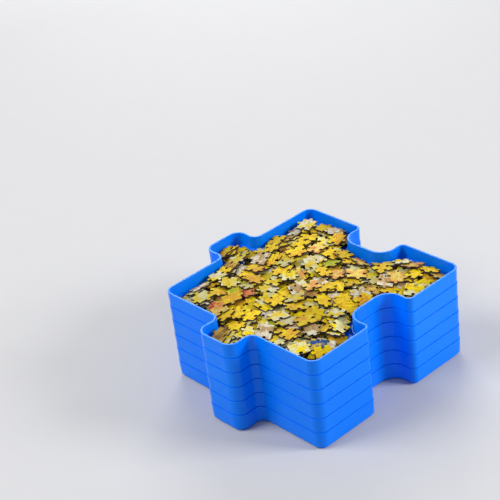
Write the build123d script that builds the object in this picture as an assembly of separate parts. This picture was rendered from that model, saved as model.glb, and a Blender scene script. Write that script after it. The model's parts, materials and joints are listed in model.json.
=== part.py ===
from build123d import *
import math
import os
import random

# A stack of six jigsaw-shaped sorting trays, each holding a load of loose jigsaw pieces.
# Millimetres, +Z up. The origin is on the underside of the bottom tray, at the middle of
# its square body, so that a tray joined to it stands one BODY_SIDE away along X or Y.

# The stack
TRAY_COUNT = 6
OVERALL_SIDE = 180.0          # one tray, tabs included
TAB_REACH = 21.6              # how far a tab stands out of the body
BODY_SIDE = OVERALL_SIDE - TAB_REACH
TRAY_HEIGHT = 14.5
FOOT_HEIGHT = 2.0             # the foot sinks into the rim of the tray below
STACK_PITCH = TRAY_HEIGHT - FOOT_HEIGHT

# The moulding
RIM_WALL = 1.6
FLOOR = 1.6
OUTER_DRAFT = 0.4             # how much the outside narrows from the rim to the shoulder
FOOT_DRAFT = 0.2
FOOT_CLEARANCE = 0.35         # between the foot and the rim that it sits in
FOOT_WALL = 1.4               # the least wall between the foot and the inside

# The outline, at the outer edge of the rim
CORNER_RADIUS = 8.0
TAB_NECK = 35.2               # a tab's width where it leaves the body
TAB_HEAD = 37.4               # and at its widest
TAB_NECK_RADIUS = 6.0
TAB_HEAD_RADIUS = 9.0
SOCKET_MOUTH = 41.4
SOCKET_HEAD = 43.0
SOCKET_DEPTH = 22.0
SOCKET_MOUTH_RADIUS = 5.0
SOCKET_HEAD_RADIUS = 12.0

# The load
BED_DEPTH = 3.4               # the settled pieces under the loose top ones
BED_CLEARANCE = 0.5           # from the bed to the wall
BED_CORNER_CUT = 0.6          # how far back the bed's corners are cut off, as a share of the wall's radius
PIECE_SIDE = 14.0
PIECE_THICKNESS = 2.0
KNOB_REACH = 3.6
KNOB_NECK = 3.4
KNOB_HEAD = 5.4
PIECE_GAP = 0.8               # the least space between loose pieces
SHUFFLE_SEED = 11

os.makedirs("parts", exist_ok=True)


def write(shape, name):
    export_step(shape, f"parts/{name}.step")


def side_feature(is_tab, inset):
    """The corners of a side's tab or socket: (along the side, out from it, radius)."""
    if is_tab:
        neck, head, reach = TAB_NECK / 2 - inset, TAB_HEAD / 2 - inset, TAB_REACH
        neck_radius, head_radius = TAB_NECK_RADIUS + inset, TAB_HEAD_RADIUS - inset
    else:
        neck, head, reach = SOCKET_MOUTH / 2 + inset, SOCKET_HEAD / 2 + inset, -SOCKET_DEPTH
        neck_radius, head_radius = SOCKET_MOUTH_RADIUS - inset, SOCKET_HEAD_RADIUS + inset
    return [
        (-neck, 0, neck_radius),
        (-head, reach, head_radius),
        (head, reach, head_radius),
        (neck, 0, neck_radius),
    ]


def outline_corners(inset):
    """Corners and radii of the tray's outline, drawn in from the rim's outer edge by inset.

    The tabs are on the -Y and -X sides, and the sockets on +X and +Y."""
    half = BODY_SIDE / 2 - inset
    corners = []
    radii = []
    for quarter, is_tab in enumerate((True, False, False, True)):
        along = Vector(1, 0).rotate(Axis.Z, 90 * quarter)
        outward = Vector(0, -1).rotate(Axis.Z, 90 * quarter)
        corners.append((outward - along) * half)
        radii.append(CORNER_RADIUS - inset)
        for shift, reach, radius in side_feature(is_tab, inset):
            corners.append(outward * (half + reach) + along * shift)
            radii.append(radius)
    return corners, radii


def tray_outline(inset):
    corners, radii = outline_corners(inset)
    return make_face(FilletPolyline(*corners, radius=radii, close=True))


def drafted(low_z, low_inset, high_z, high_inset):
    """A solid with straight drafted sides between the outline at two heights."""
    low = Pos(Z=low_z) * tray_outline(low_inset)
    high = Pos(Z=high_z) * tray_outline(high_inset)
    return loft([low, high], ruled=True)


# Insets from the rim's outer edge, down the section
FOOT_TOP_INSET = RIM_WALL + FOOT_CLEARANCE
FOOT_BOTTOM_INSET = FOOT_TOP_INSET + FOOT_DRAFT
FLOOR_EDGE_INSET = FOOT_TOP_INSET + FOOT_WALL


def make_tray():
    """One moulding: a foot, a drafted body whose shoulder rests on the rim below, and the inside."""
    foot = drafted(0, FOOT_BOTTOM_INSET, FOOT_HEIGHT, FOOT_TOP_INSET)
    body = drafted(FOOT_HEIGHT, OUTER_DRAFT, TRAY_HEIGHT, 0)
    inside = drafted(FLOOR, FLOOR_EDGE_INSET, TRAY_HEIGHT, RIM_WALL)
    return foot + body - inside


def make_bed():
    """The settled lower pieces of a load, as one block that fills the tray's outline."""
    corners, radii = outline_corners(FLOOR_EDGE_INSET + BED_CLEARANCE)
    points = []
    for index, corner in enumerate(corners):
        to_last = (corners[index - 1] - corner).normalized()
        to_next = (corners[(index + 1) % len(corners)] - corner).normalized()
        turns_outward = to_next.cross(to_last).Z > 0
        if turns_outward:
            cut = radii[index] * BED_CORNER_CUT
            points += [corner + to_last * cut, corner + to_next * cut]
        else:
            points.append(corner)
    return Pos(Z=FLOOR) * extrude(make_face(Polyline(*points, close=True)), BED_DEPTH)


def jigsaw_piece(knobs):
    """One piece, centred on the origin: knobs holds 1 for a knob and -1 for a hollow, per side."""
    points = []
    for quarter, knob in enumerate(knobs):
        along = Vector(1, 0).rotate(Axis.Z, 90 * quarter)
        outward = Vector(0, -1).rotate(Axis.Z, 90 * quarter)
        edge = outward * PIECE_SIDE / 2
        tip = outward * (PIECE_SIDE / 2 + knob * KNOB_REACH)
        points += [
            edge - along * PIECE_SIDE / 2,
            edge - along * KNOB_NECK / 2,
            tip - along * KNOB_HEAD / 2,
            tip + along * KNOB_HEAD / 2,
            edge + along * KNOB_NECK / 2,
        ]
    return extrude(make_face(Polyline(*points, close=True)), PIECE_THICKNESS)


PIECE_RADIUS = math.hypot(PIECE_SIDE / 2 + KNOB_REACH, KNOB_HEAD / 2)


def loose_spots():
    """Places for the loose pieces, on a square grid over the bed and clear of the sockets."""
    pitch = 2 * PIECE_RADIUS + PIECE_GAP
    reach = BODY_SIDE / 2 - FLOOR_EDGE_INSET - PIECE_RADIUS
    per_side = int(2 * reach / pitch) + 1
    step = 2 * reach / (per_side - 1)
    socket_side = SOCKET_HEAD / 2 + FLOOR_EDGE_INSET + PIECE_RADIUS
    socket_end = BODY_SIDE / 2 - SOCKET_DEPTH - FLOOR_EDGE_INSET - PIECE_RADIUS
    spots = []
    for row in range(per_side):
        for column in range(per_side):
            x, y = column * step - reach, row * step - reach
            in_right_socket = x > socket_end and abs(y) < socket_side
            in_back_socket = y > socket_end and abs(x) < socket_side
            if not in_right_socket and not in_back_socket:
                spots.append((x, y))
    return spots


def make_loose_pieces():
    shuffle = random.Random(SHUFFLE_SEED)
    pieces = []
    for x, y in loose_spots():
        piece = jigsaw_piece([shuffle.choice((1, -1)) for side in range(4)])
        pieces.append(Pos(x, y, FLOOR + BED_DEPTH) * Rot(Z=shuffle.uniform(0, 90)) * piece)
    return pieces


TRAY = make_tray()
BED = make_bed()
LOOSE_PIECES = make_loose_pieces()

for level in range(TRAY_COUNT):
    lift = Pos(Z=level * STACK_PITCH)
    write(lift * TRAY, f"tray_{level + 1}")
    write(lift * BED, f"jigsaw_pieces_{level + 1}")

top_tray_lift = (TRAY_COUNT - 1) * STACK_PITCH
write(Pos(Z=top_tray_lift) * Compound(LOOSE_PIECES), "loose_top_pieces")

print(len(LOOSE_PIECES), "loose pieces,", round(top_tray_lift + TRAY_HEIGHT, 1), "mm tall")
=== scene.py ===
import json
import math
import random

import bmesh
import bpy
import numpy as np
from bpy.props import FloatProperty, FloatVectorProperty, IntProperty, PointerProperty
from mathutils import Matrix, Vector

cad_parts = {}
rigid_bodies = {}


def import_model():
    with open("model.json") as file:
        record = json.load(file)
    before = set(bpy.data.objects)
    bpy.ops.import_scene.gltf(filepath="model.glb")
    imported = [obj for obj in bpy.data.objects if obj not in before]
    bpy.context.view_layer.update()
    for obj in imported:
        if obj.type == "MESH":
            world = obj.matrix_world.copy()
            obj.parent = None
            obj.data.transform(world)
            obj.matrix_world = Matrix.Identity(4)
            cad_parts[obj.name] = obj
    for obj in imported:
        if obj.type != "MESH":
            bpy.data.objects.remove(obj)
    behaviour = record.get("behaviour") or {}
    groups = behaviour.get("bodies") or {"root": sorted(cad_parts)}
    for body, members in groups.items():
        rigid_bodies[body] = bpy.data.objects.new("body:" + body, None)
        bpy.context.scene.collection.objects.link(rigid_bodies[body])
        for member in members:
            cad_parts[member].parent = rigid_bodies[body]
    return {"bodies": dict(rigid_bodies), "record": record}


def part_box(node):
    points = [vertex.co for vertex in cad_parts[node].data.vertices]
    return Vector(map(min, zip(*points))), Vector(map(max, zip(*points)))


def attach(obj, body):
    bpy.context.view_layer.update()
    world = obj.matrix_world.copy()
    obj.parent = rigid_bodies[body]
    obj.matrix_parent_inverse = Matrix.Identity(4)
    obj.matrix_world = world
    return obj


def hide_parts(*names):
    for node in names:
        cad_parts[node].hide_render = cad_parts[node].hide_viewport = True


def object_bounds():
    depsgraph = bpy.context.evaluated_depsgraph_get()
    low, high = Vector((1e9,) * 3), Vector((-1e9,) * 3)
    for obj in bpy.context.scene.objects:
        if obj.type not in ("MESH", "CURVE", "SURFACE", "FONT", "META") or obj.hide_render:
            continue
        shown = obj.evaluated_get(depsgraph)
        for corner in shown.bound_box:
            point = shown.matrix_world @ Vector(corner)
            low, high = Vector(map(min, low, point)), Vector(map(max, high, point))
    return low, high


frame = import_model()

bl_info = {
    "name": "Jigsaw Sorting Trays",
    "version": (1, 0, 0),
    "blender": (4, 5, 0),
    "location": "3D View > Sidebar > Sorting Trays",
    "description": "Moulded trays, their loads of loose jigsaw pieces, and a studio to show them in",
    "category": "Add Mesh",
}

# Sizes that the frame gives, in metres
LEVELS = len(frame["bodies"])
LOWEST_CORNER, HIGHEST_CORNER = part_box("tray_1")
HALF_BODY = HIGHEST_CORNER.x
TAB_REACH = -LOWEST_CORNER.x - HALF_BODY
TRAY_HEIGHT = HIGHEST_CORNER.z - LOWEST_CORNER.z
STACK_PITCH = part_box("tray_2")[0].z - LOWEST_CORNER.z
FOOT_HEIGHT = TRAY_HEIGHT - STACK_PITCH
CAD_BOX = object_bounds()

# How exactly the moulding's edges are told apart
LEVEL_TOLERANCE = 1e-6
MERGE_DISTANCE = 1e-7
SHARP = math.radians(40)

# How the pieces of card vary, as shares of their sizes: least and most
WIDTHS = 0.9, 1.2
DEPTHS = 0.8, 1.0
CORNER_WANDER = 0.04
KNOB_RADII = 0.92, 1.1
KNOB_OFFSETS = 0.95, 1.15
BOWS = 0.4, 1.3

# The course of a piece's side, as shares of the way along it, and of the bow for the dip
KNOB_PLACES = 0.43, 0.57
KNOB_STEPS = 5
SHOULDER_PLACE = 0.55
SHOULDER_DIP = 0.6

# The print on the pieces: the ink's least and most strength, the pattern's scale, and the sheet's reach
INK_STRENGTHS = 0.53, 0.82
PRINT_SCALE = 80.0
PRINT_REACH = 40.0

# The slots of a piece's three finishes
PRINT_SLOT, EDGE_SLOT, BACK_SLOT = range(3)

# Where the random draws start, so that each run gives the same pieces in the same places
DROP_SEED = 4

# The studio, in metres; the floor fades into the backdrop between two distances
FLOOR_REACH = 4.0
FADE_START = 0.875
FADE_END = 2.5
LAMP_TARGET = 0, 0, 0.03

# Each lamp's bearing and height in degrees, its distance and size in metres, and its power in watts
LAMPS = {
    "key_light": (123, 29, 1.5, 0.5, 18.0),
    "fill_light": (-31, 46, 1.8, 0.9, 22.5),
    "back_light": (-132, 31, 1.6, 0.8, 12.0),
}


def length(name, description, default):
    return FloatProperty(
        name=name, description=description, default=default, min=0.0, precision=5,
        subtype="DISTANCE", unit="LENGTH",
    )


def coordinate(name, description, default):
    return FloatProperty(name=name, description=description, default=default, unit="LENGTH")


def share(name, description, default):
    return FloatProperty(
        name=name, description=description, default=default, min=0.0, max=1.0, subtype="FACTOR"
    )


def angle(name, description, degrees):
    return FloatProperty(
        name=name, description=description, default=math.radians(degrees),
        subtype="ANGLE", unit="ROTATION",
    )


def count(name, description, default):
    return IntProperty(name=name, description=description, default=default, min=1)


def srgb(red, green, blue):
    """A colour as a paint chart gives it, 0 to 255, turned into the linear values that materials use."""
    def linear(value):
        value /= 255
        return value / 12.92 if value <= 0.04045 else ((value + 0.055) / 1.055) ** 2.4

    return linear(red), linear(green), linear(blue)


def colour(name, description, default):
    return FloatVectorProperty(
        name=name, description=description, default=default, min=0.0, max=1.0, subtype="COLOR"
    )


class TrayMoulding(bpy.types.PropertyGroup):
    """Sizes of one tray, measured at the outer edge of its rim unless they say otherwise"""

    rim_wall: length("Rim wall", "Thickness of the wall at the rim", 0.0016)
    floor: length("Floor", "Thickness of the floor", 0.0016)
    outer_draft: length("Draft", "How much the wall narrows from the rim to the shoulder", 0.0004)
    foot_inset: length("Foot inset", "From the rim's outer edge in to the top of the foot", 0.00195)
    foot_draft: length("Foot draft", "How much the foot narrows downwards", 0.0002)
    foot_wall: length("Foot wall", "Thickness of the wall beside the floor", 0.0014)
    corner_radius: length("Corner radius", "Radius of the body's corners", 0.008)
    tab_neck: length("Tab neck", "Width of a tab where it leaves the body", 0.0352)
    tab_head: length("Tab head", "Width of a tab at its widest", 0.0374)
    tab_neck_radius: length("Tab neck radius", "Radius where a tab leaves the body", 0.006)
    tab_head_radius: length("Tab head radius", "Radius of a tab's outer corners", 0.009)
    socket_mouth: length("Socket mouth", "Width of a socket at its mouth", 0.0414)
    socket_head: length("Socket head", "Width of a socket inside", 0.043)
    socket_depth: length("Socket depth", "How far a socket reaches into the body", 0.022)
    socket_mouth_radius: length("Socket mouth radius", "Radius of a socket's mouth", 0.005)
    socket_head_radius: length("Socket head radius", "Radius of a socket's inner corners", 0.012)
    rim_round: length("Rim rounding", "Radius of the rim's inner edge", 0.0004)
    rim_edge_round: length("Rim edge", "Radius of the rim's outer edge", 0.00015)
    shoulder_round: length("Shoulder rounding", "Radius of the shoulder's edges", 0.0008)
    foot_round: length("Foot rounding", "Radius of the foot's edges", 0.0003)
    floor_round: length("Floor rounding", "Radius where the wall meets the floor", 0.0009)
    corner_steps: count("Corner steps", "Faces along each rounded corner", 10)
    plastic: colour("Plastic", "Colour of the trays", srgb(0, 124, 250))
    plastic_deep: colour("Deep plastic", "Colour where the trays are a little denser", srgb(0, 118, 244))


class CardPieces(bpy.types.PropertyGroup):
    """Sizes and colours of the loose jigsaw pieces"""

    side: length("Side", "Typical side of a piece, knobs left out", 0.0122)
    thickness: length("Thickness", "Thickness of the card", 0.0014)
    knob_radius: length("Knob radius", "Radius of a knob", 0.0015)
    knob_offset: length("Knob offset", "From the side of a piece out to the middle of its knob", 0.0012)
    bow: length("Bow", "How far a side dips beside its knob", 0.0001)
    wall_gap: length("Wall gap", "Room between a piece and the tray's wall", 0.0003)
    headroom: length("Headroom", "Room under the tray above", 0.0003)
    steepest: angle("Steepest", "The most that a piece may lean", 26)
    upside_down: share("Upside down", "Share of the pieces that lie with their back up", 0.01)
    give: length("Give", "How far a piece settles into the ones below it", 0.0003)
    per_tray: count("Pieces per tray", "Loose pieces dropped into each tray", 630)
    looks: count("Looks", "Places looked at for each piece; it falls into the emptiest", 9)
    shapes: count("Shapes", "Different piece shapes", 24)
    stances: count("Stances", "Different ways for a piece to lie", 400)
    card_back: colour("Card back", "Colour of the back of the card", srgb(184, 172, 142))
    # The cut edge's core and fibre colours are darker than the card's own, as painted shade along the
    # pieces' edges
    card_core_and_shade: colour("Card core", "Colour of the cut edge", srgb(36, 26, 18))
    card_fibre: colour("Card fibre", "Colour of the paler fibres in the cut edge", srgb(80, 62, 40))
    ink_shade: colour("Ink shade", "Tint of the shaded strokes in the print", srgb(190, 140, 60))
    ink_line: colour("Ink line", "Tint of the drawn lines in the print", srgb(150, 104, 50))


class Studio(bpy.types.PropertyGroup):
    """The camera and the light"""

    camera_turn: angle("Camera turn", "The camera's bearing, from -Y towards +X", 47.53)
    camera_rise: angle("Camera rise", "The camera's height above the rim's level, as an angle", 31.4)
    camera_distance: length("Camera distance", "From the middle of the top rim to the camera", 1.0712)
    camera_lean: angle("Camera lean", "How far the camera is rolled", -7.43)
    aim_x: coordinate("Aim X", "Where the camera looks on the top rim's level", -0.0688)
    aim_y: coordinate("Aim Y", "Where the camera looks on the top rim's level", 0.0019)
    lens: FloatProperty(name="Lens", description="Focal length in millimetres", default=102.8, min=1.0)
    floor_colour: colour("Floor", "Colour of the floor", srgb(190, 190, 192))
    world_light: share("World light", "Strength of the light from all round", 0.38)
    backdrop: share("Backdrop", "How pale the background is beyond the floor", 0.7)


# The sort in each tray, bottom tray first: share in a hundred pieces, main ink, second ink
SORTS = [
    # Pinks
    [
        (50, (222, 96, 128), (240, 160, 180)),
        (25, (190, 60, 96), (228, 120, 90)),
        (15, (240, 205, 205), (214, 150, 160)),
        (10, (150, 90, 130), (200, 140, 170)),
    ],
    # Oranges
    [
        (50, (232, 122, 40), (244, 166, 70)),
        (20, (240, 180, 60), (226, 120, 50)),
        (18, (196, 92, 44), (236, 150, 90)),
        (12, (240, 214, 180), (220, 160, 110)),
    ],
    # Pale blues and greys
    [
        (45, (92, 150, 190), (150, 190, 214)),
        (25, (206, 216, 214), (150, 180, 190)),
        (18, (60, 110, 160), (110, 160, 170)),
        (12, (196, 200, 170), (130, 160, 150)),
    ],
    # Crimsons
    [
        (50, (176, 50, 44), (206, 92, 70)),
        (22, (150, 40, 50), (190, 70, 60)),
        (16, (214, 130, 110), (180, 70, 60)),
        (12, (232, 204, 190), (200, 110, 100)),
    ],
    # Greens
    [
        (45, (120, 170, 70), (170, 204, 90)),
        (22, (70, 130, 80), (120, 170, 90)),
        (18, (196, 210, 100), (140, 180, 80)),
        (15, (220, 226, 196), (150, 190, 130)),
    ],
    # Yellows and creams, with a few odd ones
    [
        (29, (240, 212, 8), (236, 196, 34)),
        (19, (238, 212, 16), (226, 222, 160)),
        (20, (230, 226, 184), (230, 206, 50)),
        (9, (232, 178, 40), (240, 212, 26)),
        (6, (226, 160, 84), (232, 206, 100)),
        (4, (190, 206, 40), (236, 216, 40)),
        (8, (236, 230, 204), (196, 164, 110)),
        (3, (148, 112, 60), (216, 180, 70)),
        (1, (206, 70, 50), (232, 140, 70)),
        (1, (36, 90, 160), (230, 200, 60)),
    ],
]


class Wire:
    """An output socket. Arithmetic on it adds Math nodes."""

    def __init__(self, tree, socket):
        self.tree = tree
        self.socket = socket

    def math(self, operation, *values):
        node = self.tree.nodes.new("ShaderNodeMath")
        node.operation = operation
        for socket, value in zip(node.inputs, values):
            plug(self.tree, socket, value)
        return Wire(self.tree, node.outputs[0])

    def __add__(self, other):
        return self.math("ADD", self, other)

    def __mul__(self, other):
        return self.math("MULTIPLY", self, other)

    __radd__ = __add__
    __rmul__ = __mul__


def plug(tree, socket, value):
    """Links a wire to an input socket, or sets the socket to a plain value."""
    if isinstance(value, Wire):
        tree.links.new(value.socket, socket)
    elif isinstance(value, (tuple, list)) and len(value) == 3 and len(socket.default_value) == 4:
        socket.default_value = (*value, 1.0)
    else:
        socket.default_value = value


def in_view(tree):
    """1 for what the camera sees, straight or in gloss and glass, and 0 for the light on things."""
    path = tree.nodes.new("ShaderNodeLightPath")
    seen = Wire(tree, path.outputs["Is Camera Ray"])
    for way in ("Is Glossy Ray", "Is Transmission Ray"):
        seen = seen.math("MAXIMUM", seen, Wire(tree, path.outputs[way]))
    return seen


class Finish:
    """One material's node tree, built around a Principled shader."""

    def __init__(self, name):
        self.material = bpy.data.materials.new(name)
        self.material.use_nodes = True
        self.tree = self.material.node_tree
        self.shader = self.tree.nodes["Principled BSDF"]

    def node(self, kind, settings=None, inputs=None, output=0):
        """Adds a node: its settings are made first, then its sockets get their values or wires."""
        node = self.tree.nodes.new(kind)
        for name, value in (settings or {}).items():
            if name == "stops":
                set_stops(node.color_ramp, value)
            else:
                setattr(node, name, value)
        for name, value in (inputs or {}).items():
            plug(self.tree, node.inputs[name], value)
        return Wire(self.tree, node.outputs[output])

    def place(self):
        return self.node("ShaderNodeTexCoord", output="Object")

    def noise(self, where, scale, detail=2.0, roughness=0.5):
        inputs = {"Vector": where, "Scale": scale, "Detail": detail, "Roughness": roughness}
        return self.node("ShaderNodeTexNoise", inputs=inputs)

    def ramp(self, factor, *stops):
        """Turns 0 to 1 into another course of values, through grey stops (position, value)."""
        return self.node("ShaderNodeValToRGB", {"stops": stops}, {"Fac": factor})

    def mix(self, factor, first, second, blend="MIX"):
        """Mixes two colours, whose sockets share their names with others and so go by number."""
        settings = {"data_type": "RGBA", "blend_type": blend}
        return self.node("ShaderNodeMix", settings, {"Factor": factor, 6: first, 7: second}, 2)

    def bump(self, height, strength, distance):
        inputs = {"Height": height, "Strength": strength, "Distance": distance}
        return self.node("ShaderNodeBump", inputs=inputs)

    def shade(self, **sockets):
        for name, value in sockets.items():
            plug(self.tree, self.shader.inputs[name.replace("_", " ")], value)
        return self.material


def set_stops(ramp, stops):
    while len(ramp.elements) < len(stops):
        ramp.elements.new(1.0)
    for element, (position, value) in zip(ramp.elements, stops):
        element.position = position
        element.color = (value, value, value, 1.0)


def tray_plastic(tray):
    """Blue moulded plastic: a satin skin with faint flow marks and a fine orange peel."""
    finish = Finish("tray_plastic")
    where = finish.place()
    flow = finish.noise(where, scale=9.0, detail=3.0)
    peel = finish.noise(where, scale=420.0)
    scuffs = finish.noise(where, scale=70.0, detail=5.0, roughness=0.6)
    dense = finish.ramp(flow, (0.35, 0.0), (0.65, 1.0))
    worn = finish.ramp(scuffs, (0.45, 0.0), (0.75, 1.0))
    return finish.shade(
        Base_Color=finish.mix(dense, tuple(tray.plastic), tuple(tray.plastic_deep)),
        Roughness=0.26 + 0.07 * worn + 0.04 * flow,
        Normal=finish.bump(peel, strength=0.03, distance=0.0002),
        IOR=1.49,
        Specular_IOR_Level=0.17,
    )


def printed_face(card):
    """The printed side of the card: ink that changes over the piece, under a soft linen emboss."""
    finish = Finish("printed_face")
    uv = finish.node("ShaderNodeUVMap", {"uv_map": "print"})
    main = finish.node("ShaderNodeAttribute", {"attribute_name": "main_ink"}, output="Color")
    second = finish.node("ShaderNodeAttribute", {"attribute_name": "second_ink"}, output="Color")
    patches = finish.ramp(finish.noise(uv, scale=1.3), (0.46, 0.0), (0.54, 1.0))
    drawn_out = finish.node("ShaderNodeMapping", inputs={"Vector": uv, "Scale": (1.0, 3.0, 1.0)})
    strokes = finish.noise(drawn_out, scale=2.2, detail=3.0, roughness=0.55)
    shadows = finish.ramp(strokes, (0.5, 0.0), (0.68, 0.7))
    contours = finish.noise(uv, scale=1.6, detail=0.0)
    lines = finish.ramp(contours, (0.5, 0.0), (0.52, 0.6), (0.54, 0.0))
    linen = finish.noise(uv, scale=60.0, detail=1.0)
    ink = finish.mix(patches, main, second)
    shaded = finish.mix(shadows, ink, tuple(card.ink_shade), "MULTIPLY")
    return finish.shade(
        Base_Color=finish.mix(lines, shaded, tuple(card.ink_line), "MULTIPLY"),
        Roughness=0.56 + 0.12 * strokes,
        Normal=finish.bump(linen, strength=0.03, distance=0.0003),
        Specular_IOR_Level=0.1,
    )


def card_edge(card):
    """The die-cut edge: brown pulp in thin layers. Its core and fibre colours are darker than the card's
    own, as painted shade along the pieces' edges.
    """
    finish = Finish("card_edge")
    where = finish.place()
    fibres = finish.noise(where, scale=700.0, detail=3.0, roughness=0.7)
    pale = finish.ramp(fibres, (0.4, 0.0), (0.75, 1.0))
    # The dark core and fibre tints are partly the card's own colour and partly painted shade on the
    # edges
    return finish.shade(
        Base_Color=finish.mix(pale, tuple(card.card_core_and_shade), tuple(card.card_fibre)),
        Roughness=0.92,
        Normal=finish.bump(fibres, strength=0.4, distance=0.0002),
    )


def card_back(card):
    """The plain back of the card, with a little fleck."""
    finish = Finish("card_back")
    where = finish.place()
    pulp = finish.noise(where, scale=900.0, detail=4.0, roughness=0.7)
    fleck = finish.ramp(pulp, (0.5, 0.0), (0.72, 1.0))
    return finish.shade(
        Base_Color=finish.mix(fleck, tuple(card.card_back), tuple(card.card_fibre)),
        Roughness=0.85,
        Normal=finish.bump(fleck, strength=0.2, distance=0.0001),
    )


def floor_paint(studio):
    """A matt floor that turns as pale as the backdrop far from the stack, where no lamp reaches."""
    finish = Finish("floor_paint")
    where = finish.place()
    pale = tuple(studio.floor_colour)
    mottle = finish.noise(where, scale=40.0, detail=3.0)
    tint = finish.mix(mottle, pale, tuple(0.97 * value for value in pale))
    distance = finish.node("ShaderNodeVectorMath", {"operation": "LENGTH"}, {0: where}, "Value")
    far = finish.ramp(1 / FADE_END * distance, (FADE_START / FADE_END, 0.0), (1.0, 1.0))
    missing = tuple(studio.backdrop - studio.world_light * value for value in pale)
    glow = finish.mix(far * in_view(finish.tree), (0.0, 0.0, 0.0), missing)
    return finish.shade(Base_Color=tint, Roughness=0.8, Emission_Color=glow, Emission_Strength=1.0)


def new_object(name, bm, materials):
    """Makes an object from a bmesh, whose place is in its mesh."""
    mesh = bpy.data.meshes.new(name)
    bm.to_mesh(mesh)
    bm.free()
    for material in materials:
        mesh.materials.append(material)
    piece = bpy.data.objects.new(name, mesh)
    bpy.context.scene.collection.objects.link(piece)
    return piece


def side_corners(tray, is_tab):
    """The corners of a side's tab or socket: (along the side, out from it, radius)."""
    if is_tab:
        neck, head, reach = tray.tab_neck / 2, tray.tab_head / 2, TAB_REACH
        neck_radius, head_radius = tray.tab_neck_radius, tray.tab_head_radius
    else:
        neck, head, reach = tray.socket_mouth / 2, tray.socket_head / 2, -tray.socket_depth
        neck_radius, head_radius = tray.socket_mouth_radius, tray.socket_head_radius
    return [
        (-neck, 0, neck_radius),
        (-head, reach, head_radius),
        (head, reach, head_radius),
        (neck, 0, neck_radius),
    ]


def rim_corners(tray):
    """(place, radius) of each corner of the rim's outer edge.

    The tabs are on -Y and -X, and the sockets on +X and +Y."""
    corners = []
    for quarter, is_tab in enumerate((True, False, False, True)):
        turn = Matrix.Rotation(quarter * math.pi / 2, 3, "Z")
        along, outward = turn @ Vector((1, 0, 0)), turn @ Vector((0, -1, 0))
        corners.append(((outward - along) * HALF_BODY, tray.corner_radius))
        for shift, reach, radius in side_corners(tray, is_tab):
            corners.append((outward * (HALF_BODY + reach) + along * shift, radius))
    return corners


def nearest_vertex(bm, place):
    return min(bm.verts, key=lambda vertex: (vertex.co - place).length)


def bevel(bm, geom, offset, segments, affect):
    bmesh.ops.bevel(
        bm, geom=geom, offset=offset, offset_type="OFFSET", segments=segments, profile=0.5,
        affect=affect, clamp_overlap=False, material=-1,
    )


def rim_face(bm, tray):
    """A flat face on the rim's outer edge, its corners rounded."""
    corners = rim_corners(tray)
    bm.faces.new([bm.verts.new(place) for place, radius in corners])
    for place, radius in corners:
        vertex = nearest_vertex(bm, place)
        ways = [edge.other_vert(vertex).co - place for edge in vertex.link_edges]
        cut = radius / math.tan(ways[0].angle(ways[1]) / 2)
        bevel(bm, [vertex], cut, tray.corner_steps, "VERTICES")
    bm.faces.ensure_lookup_table()
    face = bm.faces[0]
    face.normal_update()
    return face


def step(bm, face, inward, onward):
    """Draws a face in and moves it along its normal, and leaves a band of wall behind it."""
    face.normal_update()
    bmesh.ops.inset_region(
        bm, faces=[face], thickness=inward, depth=onward, use_even_offset=True, use_boundary=True
    )


def round_level(bm, height, radius, segments):
    """Rounds every sharp edge that runs level at a height."""
    edges = [
        edge for edge in bm.edges
        if all(abs(vertex.co.z - height) < LEVEL_TOLERANCE for vertex in edge.verts)
        and not edge.is_boundary and edge.calc_face_angle() > SHARP
    ]
    bevel(bm, edges, radius, segments, "EDGES")


def inside_steps(tray):
    """The inside from the rim down to the floor: (inward, down) of each band."""
    ledge_height = FOOT_HEIGHT + tray.floor
    ledge = tray.foot_inset + tray.foot_wall - tray.rim_wall - tray.outer_draft
    return [
        (tray.rim_wall, 0),
        (tray.outer_draft, TRAY_HEIGHT - ledge_height),
        (ledge, 0),
        (tray.foot_draft, FOOT_HEIGHT),
    ]


def outside_steps(tray):
    """The outside from the rim down to the underside of the foot: (inward, down) of each band."""
    return [
        (tray.outer_draft, STACK_PITCH),
        (tray.foot_inset - tray.outer_draft, 0),
        (tray.foot_draft, FOOT_HEIGHT),
    ]


def tray_bmesh(tray):
    """One moulding at the bottom of the stack."""
    bm = bmesh.new()
    inside = rim_face(bm, tray)
    copied = bmesh.ops.duplicate(bm, geom=[inside] + list(inside.edges) + list(inside.verts))
    outside = next(item for item in copied["geom"] if isinstance(item, bmesh.types.BMFace))
    bmesh.ops.reverse_faces(bm, faces=[outside])
    bmesh.ops.translate(bm, verts=bm.verts, vec=(0, 0, TRAY_HEIGHT))
    for inward, down in inside_steps(tray):
        step(bm, inside, inward, -down)
    round_level(bm, TRAY_HEIGHT, tray.rim_round, segments=4)
    for inward, down in outside_steps(tray):
        step(bm, outside, inward, down)
    bmesh.ops.remove_doubles(bm, verts=bm.verts, dist=MERGE_DISTANCE)
    round_level(bm, TRAY_HEIGHT, tray.rim_edge_round, segments=2)
    round_level(bm, FOOT_HEIGHT, tray.shoulder_round, segments=3)
    round_level(bm, FOOT_HEIGHT + tray.floor, tray.foot_round, segments=2)
    round_level(bm, tray.floor, tray.floor_round, segments=3)
    round_level(bm, 0.0, tray.foot_round, segments=2)
    for face in bm.faces:
        face.smooth = True
    return bm


def keep_flats_flat(piece):
    """Weighs the normals by area, so that only the rounded edges turn."""
    modifier = piece.modifiers.new("flat_faces", "WEIGHTED_NORMAL")
    modifier.weight = 100
    modifier.keep_sharp = True


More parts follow.
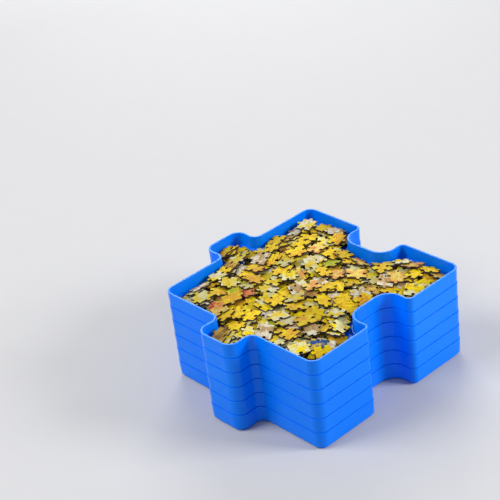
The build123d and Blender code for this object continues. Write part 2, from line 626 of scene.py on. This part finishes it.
def jigsaw_side(bm, start, end, card, draw):
    """One side of a piece: a round knob or hollow a little off the middle, between bowed shoulders."""
    along = (end.co - start.co).normalized()
    outward = Vector((along.y, -along.x, 0)) * draw.choice((1, -1))
    turn = 1 if along.cross(outward).z < 0 else -1
    radius = card.knob_radius * draw.uniform(*KNOB_RADII)
    offset = card.knob_offset * draw.uniform(*KNOB_OFFSETS)
    bow = outward * card.bow * draw.uniform(*BOWS)
    root = start.co.lerp(end.co, draw.uniform(*KNOB_PLACES)) - bow
    half_neck = math.sqrt(radius ** 2 - offset ** 2)
    first = bm.verts.new(root - along * half_neck)
    round_the_knob = 2 * math.pi - 2 * math.asin(half_neck / radius)
    spun = bmesh.ops.spin(
        bm, geom=[first], cent=root + outward * offset, axis=(0, 0, 1),
        angle=turn * round_the_knob, steps=KNOB_STEPS, use_merge=False,
    )
    last = next(item for item in spun["geom_last"] if isinstance(item, bmesh.types.BMVert))
    for corner, neck in ((start, first), (end, last)):
        shoulder = bm.verts.new(corner.co.lerp(neck.co, SHOULDER_PLACE) - SHOULDER_DIP * bow)
        bm.edges.new((corner, shoulder))
        bm.edges.new((shoulder, neck))


def jigsaw_outline(bm, card, draw):
    """The closed outline of one piece, a little out of square."""
    half_width = card.side / 2 * draw.uniform(*WIDTHS)
    half_depth = card.side / 2 * draw.uniform(*DEPTHS)
    wander = CORNER_WANDER * card.side
    corners = []
    for sx, sy in ((-1, -1), (1, -1), (1, 1), (-1, 1)):
        x = sx * half_width + draw.uniform(-wander, wander)
        y = sy * half_depth + draw.uniform(-wander, wander)
        corners.append(bm.verts.new((x, y, 0)))
    for start, end in zip(corners, corners[1:] + corners[:1]):
        jigsaw_side(bm, start, end, card, draw)


def jigsaw_shape(card, draw):
    """One piece of card with its printed face up, as (mesh, outline of its footprint)."""
    bm = bmesh.new()
    jigsaw_outline(bm, card, draw)
    bmesh.ops.contextual_create(bm, geom=list(bm.edges))
    bm.faces.ensure_lookup_table()
    face = bm.faces[0]
    face.normal_update()
    if face.normal.z < 0:
        face.normal_flip()
    footprint = np.array([vertex.co.xy for vertex in face.verts])
    face.material_index = BACK_SLOT
    extruded = bmesh.ops.extrude_face_region(bm, geom=[face], use_keep_orig=True)
    top = next(item for item in extruded["geom"] if isinstance(item, bmesh.types.BMFace))
    bmesh.ops.translate(bm, verts=top.verts, vec=(0, 0, card.thickness))
    bmesh.ops.recalc_face_normals(bm, faces=bm.faces)
    for side in bm.faces:
        if abs(side.normal.z) < 0.5:
            side.material_index = EDGE_SLOT
    top.material_index = PRINT_SLOT
    mesh = bpy.data.meshes.new("jigsaw_shape")
    bm.to_mesh(mesh)
    bm.free()
    return mesh, footprint


def within(polygon, x, y):
    """Which points lie inside a polygon, by counting the sides that a ray crosses."""
    result = np.zeros(x.shape, bool)
    for (x0, y0), (x1, y1) in zip(polygon, np.roll(polygon, -1, axis=0)):
        crosses = (y0 > y) != (y1 > y)
        if crosses.any():
            result ^= crosses & (x < (x1 - x0) * (y - y0) / (y1 - y0) + x0)
    return result


def floor_outline(tray, gap):
    """The outline of the tray's floor, drawn in by a gap, as points."""
    bm = bmesh.new()
    face = rim_face(bm, tray)
    step(bm, face, sum(inward for inward, down in inside_steps(tray)) + gap, 0)
    points = np.array([vertex.co.xy for vertex in face.verts])
    bm.free()
    return points


class Stance:
    """One way for a piece to lie: its shape, its turn, which face is up, and the cells it covers."""

    def __init__(self, shape, turn, flipped):
        self.mesh, footprint = shape
        self.turn = turn
        self.flipped = flipped
        if flipped:
            footprint = footprint * (1, -1)
        cos, sin = math.cos(turn), math.sin(turn)
        outline = footprint @ np.array([[cos, sin], [-sin, cos]])
        steps = np.arange(-Heap.MARGIN, Heap.MARGIN + 1)
        columns, rows = np.meshgrid(steps, steps, indexing="ij")
        covered = within(outline, columns * Heap.CELL, rows * Heap.CELL)
        self.cells = columns[covered], rows[covered]
        self.x, self.y = (cells * Heap.CELL for cells in self.cells)

    def matrix(self, centre, rest, thickness):
        """Where the piece's mesh goes: back up if it is flipped, then turned, then leaned over."""
        middle, slope_x, slope_y = rest
        flip = Matrix.Identity(4)
        if self.flipped:
            flip = Matrix.Translation((0, 0, thickness)) @ Matrix.Rotation(math.pi, 4, "X")
        upright = Vector((-slope_x, -slope_y, 1))
        lean = Vector((0, 0, 1)).rotation_difference(upright).to_matrix().to_4x4()
        return Matrix.Translation((*centre, middle)) @ lean @ Matrix.Rotation(self.turn, 4, "Z") @ flip


class Heap:
    """Pieces dropped one by one into a tray, over a grid that holds the height reached so far.

    CELL is the side of the grid's cells, and MARGIN is how many of them lie beyond the walls, which is
    more than a piece reaches from its middle. Bare floor counts as lower than it is, by BARE_PULL. A
    piece's slopes are looked for in ROUNDS, each of which tries SLOPES values closer to the best."""

    CELL = 0.001
    MARGIN = 14
    BARE_PULL = 0.004
    ROUNDS = 3
    SLOPES = 7

    def __init__(self, walls, floor, ceiling):
        edge = self.MARGIN * self.CELL
        self.x = np.arange(walls[:, 0].min() - edge, walls[:, 0].max() + edge, self.CELL)
        self.y = np.arange(walls[:, 1].min() - edge, walls[:, 1].max() + edge, self.CELL)
        inside = within(walls, *np.meshgrid(self.x, self.y, indexing="ij"))
        self.height = np.where(inside, floor, np.inf)
        self.places = np.argwhere(inside).tolist()
        self.floor = floor
        self.ceiling = ceiling

    def under(self, stance, place):
        return place[0] + stance.cells[0], place[1] + stance.cells[1]

    def crowding(self, stance, place):
        """The mean height reached under a piece, less where the floor is bare; endless over a wall."""
        support = self.height[self.under(stance, place)]
        return support.mean() - self.BARE_PULL * (support <= self.floor).mean()

    def settle(self, stance, place, steepest):
        """The lowest rest of a flat piece: (height of its middle, slope in x, slope in y)."""
        support = self.height[self.under(stance, place)]
        rest = (np.inf, 0.0, 0.0)
        reach = steepest
        for closer in range(self.ROUNDS):
            offsets = np.linspace(-reach, reach, self.SLOPES)
            slopes_x = np.clip(rest[1] + offsets, -steepest, steepest)
            slopes_y = np.clip(rest[2] + offsets, -steepest, steepest)
            x, y = (slopes.reshape(-1, 1) for slopes in np.meshgrid(slopes_x, slopes_y, indexing="ij"))
            middles = (support - x * stance.x - y * stance.y).max(axis=1)
            best = middles.argmin()
            rest = (middles[best], x[best, 0], y[best, 0])
            reach /= self.SLOPES // 2
        return rest

    def lay(self, stance, place, rest, thickness):
        """Adds a settled piece's top face to the grid, unless it stands too high."""
        middle, slope_x, slope_y = rest
        above = thickness * math.hypot(1, slope_x, slope_y)
        top = middle + slope_x * stance.x + slope_y * stance.y + above
        if top.max() > self.ceiling:
            return False
        self.height[self.under(stance, place)] = top
        return True


def drop_pieces(card, tray, stances, walls, draw):
    """Fills one tray: (mesh, matrix) of each piece, with the tray's underside at height 0."""
    heap = Heap(walls, tray.floor, STACK_PITCH - card.headroom - card.give)
    steepest = math.tan(card.steepest)
    placed = []
    for drop in range(card.per_tray):
        looks = [(draw.choice(stances), draw.choice(heap.places)) for look in range(card.looks)]
        stance, place = min(looks, key=lambda look: heap.crowding(*look))
        rest = heap.settle(stance, place, steepest)
        if heap.lay(stance, place, rest, card.thickness - card.give):
            centre = heap.x[place[0]], heap.y[place[1]]
            placed.append((stance.mesh, stance.matrix(centre, rest, card.thickness)))
    return placed


def pick_inks(sort, draw):
    """A main and a second ink for one piece, a little lighter or darker than the sort's own."""
    pairs = [entry[1:] for entry in sort]
    pair = draw.choices(pairs, weights=[entry[0] for entry in sort])[0]
    strength = draw.uniform(*INK_STRENGTHS)
    return [(*(value * strength for value in srgb(*ink)), 1.0) for ink in pair]


def load_bmesh(placed, sort, draw):
    """All the pieces of one load in one mesh, with their inks and their share of the print."""
    bm = bmesh.new()
    print_map = bm.loops.layers.uv.new("print")
    main_ink = bm.verts.layers.float_color.new("main_ink")
    second_ink = bm.verts.layers.float_color.new("second_ink")
    for mesh, matrix in placed:
        first_vertex, first_face = len(bm.verts), len(bm.faces)
        bm.from_mesh(mesh)
        bm.verts.ensure_lookup_table()
        bm.faces.ensure_lookup_table()
        vertices, faces = bm.verts[first_vertex:], bm.faces[first_face:]
        main, second = pick_inks(sort, draw)
        patch = Vector((draw.uniform(0, PRINT_REACH), draw.uniform(0, PRINT_REACH)))
        for vertex in vertices:
            vertex[main_ink], vertex[second_ink] = main, second
        for face in faces:
            for loop in face.loops:
                loop[print_map].uv = patch + loop.vert.co.xy * PRINT_SCALE
        bmesh.ops.transform(bm, matrix=matrix, verts=vertices)
    return bm


class TRAYS_OT_mould(bpy.types.Operator):
    """Mould the six trays over the frame's trays"""

    bl_idname = "sorting_trays.mould"
    bl_label = "Mould Trays"

    def execute(self, context):
        tray = context.scene.tray_moulding
        plastic = tray_plastic(tray)
        for level in range(LEVELS):
            body = f"tray_{level + 1}"
            bm = tray_bmesh(tray)
            bmesh.ops.translate(bm, verts=bm.verts, vec=(0, 0, level * STACK_PITCH))
            piece = new_object(f"moulded_tray_{level + 1}", bm, [plastic])
            keep_flats_flat(piece)
            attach(piece, body)
            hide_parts(body)
        return {"FINISHED"}


class TRAYS_OT_load(bpy.types.Operator):
    """Drop a sorted load of jigsaw pieces into each tray"""

    bl_idname = "sorting_trays.load"
    bl_label = "Load Trays"

    def execute(self, context):
        tray, card = context.scene.tray_moulding, context.scene.card_pieces
        draw = random.Random(DROP_SEED)
        shapes = [jigsaw_shape(card, draw) for index in range(card.shapes)]
        stances = []
        for index in range(card.stances):
            flipped = draw.random() < card.upside_down
            stances.append(Stance(draw.choice(shapes), draw.uniform(0, 2 * math.pi), flipped))
        materials = [printed_face(card), card_edge(card), card_back(card)]
        walls = floor_outline(tray, card.wall_gap)
        for level in range(LEVELS):
            placed = drop_pieces(card, tray, stances, walls, draw)
            bm = load_bmesh(placed, SORTS[level % len(SORTS)], draw)
            bmesh.ops.translate(bm, verts=bm.verts, vec=(0, 0, level * STACK_PITCH))
            piece = new_object(f"card_load_{level + 1}", bm, materials)
            body = f"tray_{level + 1}"
            nodes = frame["record"]["behaviour"]["bodies"][body]
            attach(piece, body)
            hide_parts(*(node for node in nodes if node != body))
        return {"FINISHED"}


def aim(thing, place, target):
    """Puts a lamp or the camera at a place and points it at another."""
    thing.location = place
    thing.rotation_euler = (Vector(target) - Vector(place)).to_track_quat("-Z", "Y").to_euler()


def way_out(turn, rise):
    """The direction at a bearing, from -Y towards +X, and at an angle above the level."""
    return Vector((math.sin(turn) * math.cos(rise), -math.cos(turn) * math.cos(rise), math.sin(rise)))


def soft_box(name, turn, rise, distance, size, power):
    """A square area lamp that points at the stack, placed by its bearing and height in degrees."""
    lamp = bpy.data.lights.new(name, "AREA")
    lamp.shape = "SQUARE"
    lamp.size = size
    lamp.energy = power
    piece = bpy.data.objects.new(name, lamp)
    bpy.context.scene.collection.objects.link(piece)
    aim(piece, distance * way_out(math.radians(turn), math.radians(rise)), LAMP_TARGET)


class TRAYS_OT_studio(bpy.types.Operator):
    """Set up the floor, the light and the camera"""

    bl_idname = "sorting_trays.studio"
    bl_label = "Set Up Studio"

    def execute(self, context):
        scene = context.scene
        studio = scene.studio
        self.lay_floor(studio)
        self.light(scene, studio)
        self.place_camera(scene, studio)
        return {"FINISHED"}

    def lay_floor(self, studio):
        bm = bmesh.new()
        bmesh.ops.create_grid(bm, x_segments=1, y_segments=1, size=FLOOR_REACH)
        new_object("studio_floor", bm, [floor_paint(studio)])

    def light(self, scene, studio):
        world = bpy.data.worlds.new("studio_world")
        scene.world = world
        world.use_nodes = True
        tree = world.node_tree
        background = tree.nodes["Background"]
        background.inputs["Color"].default_value = (1.0, 1.0, 1.0, 1.0)
        light, backdrop = studio.world_light, studio.backdrop
        plug(tree, background.inputs["Strength"], light + (backdrop - light) * in_view(tree))
        for name, settings in LAMPS.items():
            soft_box(name, *settings)
        scene.view_settings.view_transform = "Standard"

    def place_camera(self, scene, studio):
        camera = bpy.data.cameras.new("photo_camera")
        camera.lens = studio.lens
        piece = bpy.data.objects.new("photo_camera", camera)
        scene.collection.objects.link(piece)
        rim = CAD_BOX[1][2]
        way = way_out(studio.camera_turn, studio.camera_rise)
        place = Vector((0, 0, rim)) + way * studio.camera_distance
        aim(piece, place, (studio.aim_x, studio.aim_y, rim))
        piece.rotation_euler.rotate_axis("Z", studio.camera_lean)
        scene.camera = piece


class TRAYS_PT_panel(bpy.types.Panel):
    """Lists the steps that build the stack"""

    bl_label = "Sorting Trays"
    bl_idname = "TRAYS_PT_panel"
    bl_space_type = "VIEW_3D"
    bl_region_type = "UI"
    bl_category = "Sorting Trays"

    def draw(self, context):
        for operator in OPERATORS:
            self.layout.operator(operator.bl_idname)
        for group in ("tray_moulding", "card_pieces", "studio"):
            settings = getattr(context.scene, group)
            box = self.layout.box()
            for name in settings.__annotations__:
                box.prop(settings, name)


OPERATORS = (TRAYS_OT_mould, TRAYS_OT_load, TRAYS_OT_studio)
CLASSES = (TrayMoulding, CardPieces, Studio, *OPERATORS, TRAYS_PT_panel)


def register():
    for item in CLASSES:
        bpy.utils.register_class(item)
    bpy.types.Scene.tray_moulding = PointerProperty(type=TrayMoulding)
    bpy.types.Scene.card_pieces = PointerProperty(type=CardPieces)
    bpy.types.Scene.studio = PointerProperty(type=Studio)


def unregister():
    del bpy.types.Scene.studio
    del bpy.types.Scene.card_pieces
    del bpy.types.Scene.tray_moulding
    for item in reversed(CLASSES):
        bpy.utils.unregister_class(item)


def main():
    register()
    bpy.ops.sorting_trays.mould()
    bpy.ops.sorting_trays.load()
    bpy.ops.sorting_trays.studio()
    bpy.context.view_layer.update()
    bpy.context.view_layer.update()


if __name__ == "__main__":
    main()
